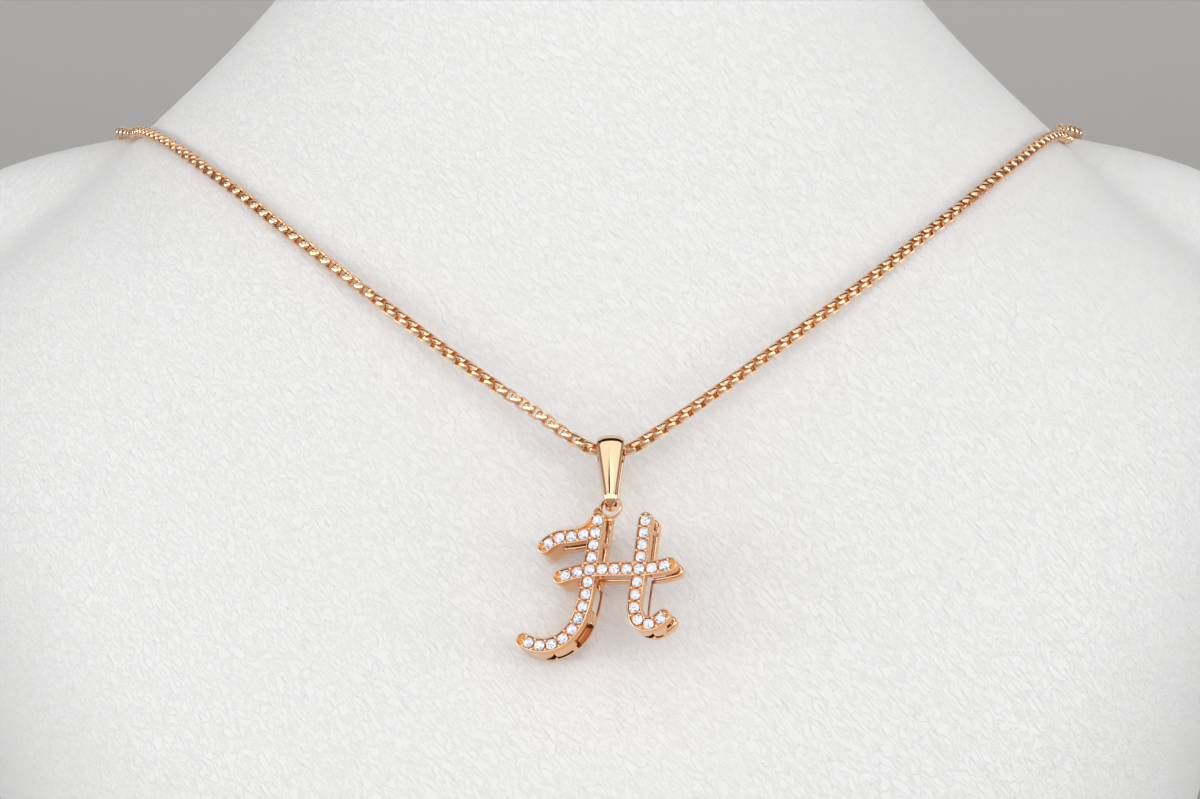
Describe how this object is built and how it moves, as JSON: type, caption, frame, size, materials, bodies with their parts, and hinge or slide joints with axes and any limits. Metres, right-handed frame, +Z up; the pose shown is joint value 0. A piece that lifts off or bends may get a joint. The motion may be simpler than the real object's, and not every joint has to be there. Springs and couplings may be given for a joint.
{
  "type": "initial pendant necklace on a neck bust",
  "caption": "Script letter pendant set with round stones, hung by a tapered bail from a box chain with a barrel clasp, on a plain neck and shoulder bust.",
  "frame": {"origin": "middle of the bust's flat foot, under the middle of the whole object's box", "axes": "+Z up through the neck, -Y toward the front of the chest, +X toward the right of a viewer in front"},
  "size_m": [0.215, 0.1337, 0.2],
  "materials": {
    "bust": "white fine-grain leatherette, matt",
    "rose_gold": "polished rose gold",
    "stones": "clear faceted"
  },
  "bodies": {
    "bust": {"bust": "bust", "chain": "rose_gold", "clasp": "rose_gold"},
    "bail": {"bail": "rose_gold"},
    "letter": {"letter": "rose_gold", "stone_01": "stones", "stone_02": "stones", "stone_03": "stones", "stone_04": "stones", "stone_05": "stones", "stone_06": "stones", "stone_07": "stones", "stone_08": "stones", "stone_09": "stones", "stone_10": "stones", "stone_11": "stones", "stone_12": "stones", "stone_13": "stones", "stone_14": "stones", "stone_15": "stones", "stone_16": "stones", "stone_17": "stones", "stone_18": "stones", "stone_19": "stones", "stone_20": "stones", "stone_21": "stones", "stone_22": "stones", "stone_23": "stones", "stone_24": "stones", "stone_25": "stones", "stone_26": "stones", "stone_27": "stones", "stone_28": "stones", "stone_29": "stones", "stone_30": "stones", "stone_31": "stones", "stone_32": "stones", "stone_33": "stones", "stone_34": "stones", "stone_35": "stones", "stone_36": "stones"}
  },
  "joints": [
    {"name": "bail_swing", "type": "hinge", "parent": "bust", "child": "bail", "pos_m": [0.00152, -0.05278, 0.10598], "axis": [-1, 0, 0], "range_deg": [0, 60]},
    {"name": "letter_swing", "type": "hinge", "parent": "bail", "child": "letter", "pos_m": [0.00152, -0.05669, 0.10012], "axis": [-1, 0, 0], "range_deg": [0, 60]}
  ]
}
